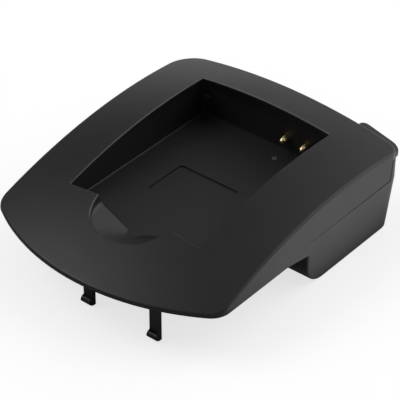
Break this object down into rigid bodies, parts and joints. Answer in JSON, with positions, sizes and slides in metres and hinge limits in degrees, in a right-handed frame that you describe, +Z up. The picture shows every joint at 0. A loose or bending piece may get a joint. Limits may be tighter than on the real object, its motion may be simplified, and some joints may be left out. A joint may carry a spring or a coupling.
{
  "type": "camera battery charging cradle",
  "caption": "Crowned black plastic cradle with a battery pocket, gilt spring pins, finger scoop, lift tab and snap hooks, which clips on a charging base.",
  "frame": {"origin": "on the table, under the middle of the cradle's outline", "axes": "+Z up, +Y from the bowed front edge to the housing at the rear, +X towards the lift tab"},
  "size_m": [0.064, 0.0766, 0.0238],
  "materials": {
    "cover_plastic": "fine spark-eroded matt black",
    "housing_plastic": "fine spark-eroded matt black",
    "screw_steel": "zinc plated",
    "board_laminate": "green solder mask on glass laminate",
    "chip_black": "moulded chip with tinned ends",
    "sleeve_gold": "gold plated",
    "pin_gold": "gold plated, polished by use",
    "spring_steel": "drawn wire",
    "terminal_brass": "gold flash on stamped strip"
  },
  "bodies": {
    "cradle": {"top_cover": "cover_plastic", "lower_housing": "housing_plastic", "housing_screws": "screw_steel", "contact_board": "board_laminate", "coding_resistor": "chip_black", "contact_barrel_positive": "sleeve_gold", "contact_spring_positive": "spring_steel", "base_terminal_positive": "terminal_brass", "contact_barrel_negative": "sleeve_gold", "contact_spring_negative": "spring_steel", "base_terminal_negative": "terminal_brass"},
    "plunger_positive": {"contact_plunger_positive": "pin_gold"},
    "plunger_negative": {"contact_plunger_negative": "pin_gold"}
  },
  "joints": [
    {"name": "pin_slide_positive", "type": "slide", "parent": "cradle", "child": "plunger_positive", "axis": [0, 1, 0], "range_m": [0, 0.0012], "stiffness_N_per_m": 500, "deforming": ["contact_spring_positive"]},
    {"name": "pin_slide_negative", "type": "slide", "parent": "cradle", "child": "plunger_negative", "axis": [0, 1, 0], "range_m": [0, 0.0012], "stiffness_N_per_m": 500, "deforming": ["contact_spring_negative"]}
  ]
}
